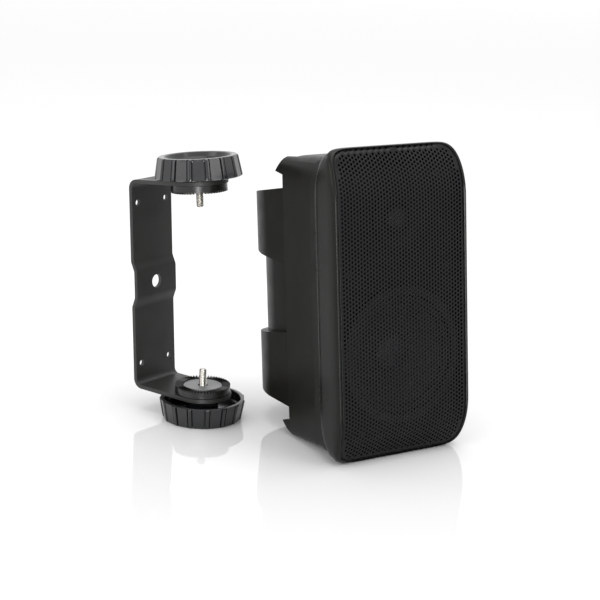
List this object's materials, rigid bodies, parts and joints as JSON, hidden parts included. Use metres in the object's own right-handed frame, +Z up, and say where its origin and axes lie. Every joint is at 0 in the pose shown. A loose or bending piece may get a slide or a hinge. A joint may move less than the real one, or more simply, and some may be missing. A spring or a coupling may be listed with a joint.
{
  "type": "pa speaker",
  "caption": "Compact two-way PA speaker with a curved perforated grille, leaning back on a table beside its loose steel U-bracket with hand knobs.",
  "frame": {"origin": "on the table under the middle of the whole arrangement of cabinet and bracket", "axes": "+Z up from the table, -Y the way the grille faces, -X from the cabinet to the loose bracket"},
  "size_m": [0.1897, 0.2126, 0.2288],
  "materials": {
    "satin_black_plastic": "satin, lightly grained",
    "painted_grille_steel": "black satin paint on perforated sheet",
    "black_steel": "black coated steel",
    "powder_coat": "fine black powder coat",
    "black_rubber": "matt",
    "grey_plastic": "satin",
    "zinc_plate": "zinc plated thread",
    "bare_steel": "bright steel",
    "brass": "machined",
    "ferrite": "ground ferrite",
    "coated_paper": "coated paper pulp",
    "coated_silk": "coated silk",
    "spider_cloth": "varnished cloth",
    "enamelled_copper": "enamelled winding wire",
    "capacitor_sleeve": "shrink sleeve",
    "circuit_board": "solder mask",
    "ceramic_resistor": "cement body",
    "red_plastic": "moulded"
  },
  "bodies": {
    "cabinet": {"rear_shell": "satin_black_plastic", "front_bezel": "satin_black_plastic", "front_baffle": "satin_black_plastic", "baffle_screw_top_left": "black_steel", "baffle_screw_top_right": "black_steel", "baffle_screw_middle_left": "black_steel", "baffle_screw_middle_right": "black_steel", "baffle_screw_bottom_left": "black_steel", "baffle_screw_bottom_right": "black_steel", "upper_seat_ring": "black_rubber", "lower_seat_ring": "black_rubber", "upper_threaded_insert": "brass", "lower_threaded_insert": "brass", "woofer_basket": "black_steel", "woofer_gasket": "black_rubber", "woofer_top_plate": "bare_steel", "woofer_magnet": "ferrite", "woofer_yoke": "bare_steel", "woofer_spider": "spider_cloth", "woofer_surround": "black_rubber", "tweeter_faceplate": "satin_black_plastic", "tweeter_magnet": "ferrite", "crossover_board": "circuit_board", "crossover_coil": "enamelled_copper", "crossover_capacitor_a": "capacitor_sleeve", "crossover_capacitor_b": "capacitor_sleeve", "crossover_resistor": "ceramic_resistor", "terminal_cup": "satin_black_plastic"},
    "front_grille": {"grille": "painted_grille_steel"},
    "woofer_cone_assembly": {"woofer_cone": "coated_paper", "woofer_dust_cap": "coated_paper", "woofer_voice_coil": "enamelled_copper"},
    "tweeter_diaphragm": {"tweeter_dome": "coated_silk"},
    "red_lever": {"terminal_lever_red": "red_plastic"},
    "black_lever": {"terminal_lever_black": "satin_black_plastic"},
    "lower_knob_group": {"lower_knob": "satin_black_plastic", "lower_stud": "zinc_plate", "lower_washer": "bare_steel"},
    "bracket": {"bracket_strap": "powder_coat", "upper_bracket_ring": "black_rubber", "lower_bracket_ring": "black_rubber", "upper_pivot_disc": "grey_plastic", "lower_pivot_disc": "grey_plastic"},
    "upper_washer_body": {"upper_washer": "bare_steel"},
    "upper_knob_group": {"upper_knob": "satin_black_plastic", "upper_stud": "zinc_plate"}
  },
  "joints": [
    {"name": "grille_pull", "type": "slide", "parent": "cabinet", "child": "front_grille", "axis": [0, -0.9931, 0.1174], "range_m": [0, 0.02]},
    {"name": "woofer_travel", "type": "slide", "parent": "cabinet", "child": "woofer_cone_assembly", "axis": [0, -0.9931, 0.1174], "range_m": [-0.004, 0.004], "stiffness_N_per_m": 1500, "deforming": ["woofer_surround", "woofer_spider"]},
    {"name": "tweeter_travel", "type": "slide", "parent": "cabinet", "child": "tweeter_diaphragm", "axis": [0, -0.9931, 0.1174], "range_m": [-0.0003, 0.0003], "stiffness_N_per_m": 3000},
    {"name": "red_lever_press", "type": "hinge", "parent": "cabinet", "child": "red_lever", "pos_m": [0.02906, 0.04581, 0.09828], "axis": [1, 0, 0], "range_deg": [0, 14], "stiffness_Nm_per_rad": 0.05, "springref_deg": -5.73},
    {"name": "black_lever_press", "type": "hinge", "parent": "cabinet", "child": "black_lever", "pos_m": [0.04266, 0.04581, 0.09828], "axis": [1, 0, 0], "range_deg": [0, 14], "stiffness_Nm_per_rad": 0.05, "springref_deg": -5.73},
    {"name": "bracket_carry", "type": "slide", "parent": "cabinet", "child": "lower_knob_group", "axis": [-1, 0, 0], "range_m": [0, 0.1]},
    {"name": "bracket_swivel", "type": "hinge", "parent": "lower_knob_group", "child": "bracket", "pos_m": [-0.05318, 0.0425, 0.021], "axis": [0, 0, 1], "range_deg": [-55, 120]},
    {"name": "upper_knob_lift", "type": "slide", "parent": "bracket", "child": "upper_washer_body", "axis": [-0.0326, 0.0883, 0.9956], "range_m": [0, 0.012]},
    {"name": "upper_knob_turn", "type": "hinge", "parent": "upper_washer_body", "child": "upper_knob_group", "pos_m": [-0.05588, 0.0498, 0.18602], "axis": [-0.0326, 0.0883, 0.9956], "continuous": true}
  ]
}
